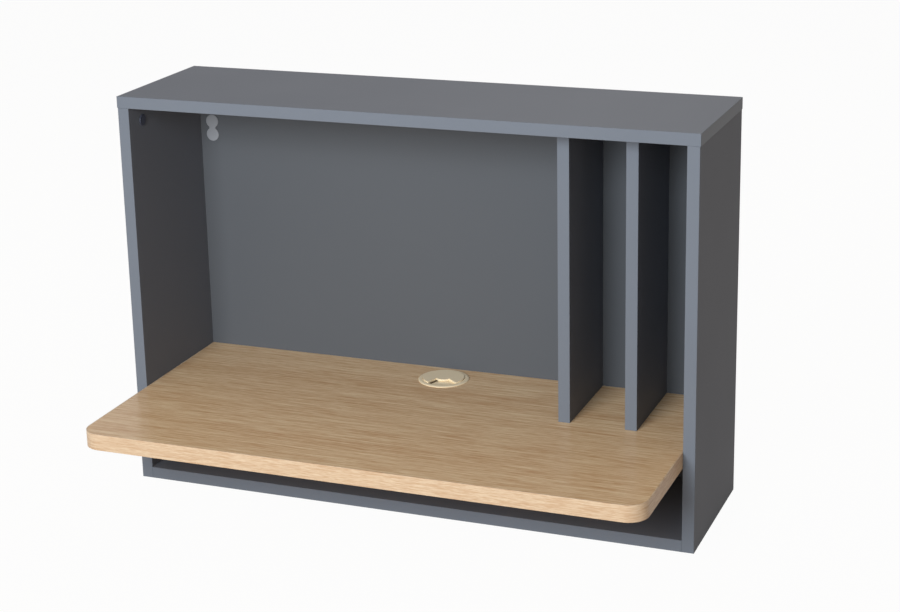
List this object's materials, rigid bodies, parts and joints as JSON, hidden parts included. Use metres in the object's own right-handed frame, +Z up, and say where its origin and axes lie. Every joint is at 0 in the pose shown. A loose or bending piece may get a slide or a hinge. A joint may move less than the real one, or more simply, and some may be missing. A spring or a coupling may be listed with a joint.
{
  "type": "wall desk",
  "caption": "Wall-hung cabinet desk with an oak worktop that stands out in front, upright dividers, a cable outlet and concealed hangers.",
  "frame": {"origin": "on the floor plane, midway between the outer sides and midway between the worktop's front edge and the wall plane", "axes": "+X to the right as seen from the front, +Y towards the wall, +Z up"},
  "size_m": [0.902, 0.45, 0.618],
  "materials": {
    "grey_board": "satin melamine on particle board",
    "grey_back": "lacquered fibre board",
    "grey_band": "satin edge band",
    "oak_board": "satin oak decor on particle board",
    "oak_band": "satin oak edge band",
    "cream_plastic": "satin",
    "light_grey_plastic": "satin",
    "dark_grey_plastic": "satin",
    "beech": "plain beech",
    "zinc_casting": "die-cast zinc",
    "zinc_plated_steel": "zinc plated"
  },
  "bodies": {
    "cabinet": {"back_panel": "grey_back", "bottom_panel": "grey_board", "bottom_panel_edge_band": "grey_band", "cam_bolts": "zinc_plated_steel", "cam_covers": "dark_grey_plastic", "cam_fittings": "zinc_casting", "divider_screws": "zinc_plated_steel", "grommet_sleeve": "cream_plastic", "hanger_screws": "zinc_plated_steel", "left_divider": "grey_board", "left_divider_edge_band": "grey_band", "left_hanger_housing": "zinc_plated_steel", "left_side_edge_band": "grey_band", "left_side_panel": "grey_board", "right_divider": "grey_board", "right_divider_edge_band": "grey_band", "right_hanger_housing": "zinc_plated_steel", "right_side_edge_band": "grey_band", "right_side_panel": "grey_board", "top_panel": "grey_board", "top_panel_edge_bands": "grey_band", "wooden_dowels": "beech", "worktop": "oak_board", "worktop_edge_band": "oak_band"},
    "left_height_pinion": {"left_height_pinion": "zinc_plated_steel"},
    "left_height_slide": {"left_height_slide": "zinc_plated_steel"},
    "left_depth_screw": {"left_depth_screw": "zinc_plated_steel"},
    "left_hanger_hook": {"left_hanger_hook": "zinc_plated_steel", "left_wall_plate": "zinc_plated_steel"},
    "left_hanger_cover": {"left_hanger_cover": "light_grey_plastic"},
    "right_height_pinion": {"right_height_pinion": "zinc_plated_steel"},
    "right_height_slide": {"right_height_slide": "zinc_plated_steel"},
    "right_depth_screw": {"right_depth_screw": "zinc_plated_steel"},
    "right_hanger_hook": {"right_hanger_hook": "zinc_plated_steel", "right_wall_plate": "zinc_plated_steel"},
    "right_hanger_cover": {"right_hanger_cover": "light_grey_plastic"},
    "grommet_cap": {"grommet_cap": "cream_plastic"},
    "grommet_shutter": {"grommet_shutter": "cream_plastic"}
  },
  "joints": [
    {"name": "grommet_cap_lift", "type": "slide", "parent": "cabinet", "child": "grommet_cap", "axis": [0, 0, 1], "range_m": [0, 0.03]},
    {"name": "grommet_shutter_turn", "type": "hinge", "parent": "grommet_cap", "child": "grommet_shutter", "pos_m": [0, 0.1555, 0.1537], "axis": [0, 0, 1], "range_deg": [-6, 79]},
    {"name": "left_height_slide_travel", "type": "slide", "parent": "cabinet", "child": "left_height_slide", "axis": [0, 0, 1], "range_m": [-0.007, 0.007]},
    {"name": "left_height_pinion_turn", "type": "hinge", "parent": "cabinet", "child": "left_height_pinion", "pos_m": [-0.411, 0.2075, 0.5335], "axis": [0, -1, 0], "range_deg": [-83.6, 83.6]},
    {"name": "left_depth_screw_turn", "type": "hinge", "parent": "left_height_slide", "child": "left_depth_screw", "pos_m": [-0.411, 0.2075, 0.512], "axis": [0, -1, 0], "range_deg": [0, 2880]},
    {"name": "left_hook_travel", "type": "slide", "parent": "left_height_slide", "child": "left_hanger_hook", "axis": [0, 1, 0], "range_m": [0, 0.008]},
    {"name": "left_hanger_cover_pull", "type": "slide", "parent": "cabinet", "child": "left_hanger_cover", "axis": [0, -1, 0], "range_m": [0, 0.02]},
    {"name": "right_height_slide_travel", "type": "slide", "parent": "cabinet", "child": "right_height_slide", "axis": [0, 0, 1], "range_m": [-0.007, 0.007]},
    {"name": "right_height_pinion_turn", "type": "hinge", "parent": "cabinet", "child": "right_height_pinion", "pos_m": [0.411, 0.2075, 0.5335], "axis": [0, 1, 0], "range_deg": [-83.6, 83.6]},
    {"name": "right_depth_screw_turn", "type": "hinge", "parent": "right_height_slide", "child": "right_depth_screw", "pos_m": [0.411, 0.2075, 0.512], "axis": [0, -1, 0], "range_deg": [0, 2880]},
    {"name": "right_hook_travel", "type": "slide", "parent": "right_height_slide", "child": "right_hanger_hook", "axis": [0, 1, 0], "range_m": [0, 0.008]},
    {"name": "right_hanger_cover_pull", "type": "slide", "parent": "cabinet", "child": "right_hanger_cover", "axis": [0, -1, 0], "range_m": [0, 0.02]}
  ],
  "couplings": [
    {"joint": "left_height_pinion_turn", "follows": "left_height_slide_travel", "rad_per_m": 208.33},
    {"joint": "left_depth_screw_turn", "follows": "left_hook_travel", "rad_per_m": 6283.2},
    {"joint": "right_height_pinion_turn", "follows": "right_height_slide_travel", "rad_per_m": 208.33},
    {"joint": "right_depth_screw_turn", "follows": "right_hook_travel", "rad_per_m": 6283.2}
  ]
}
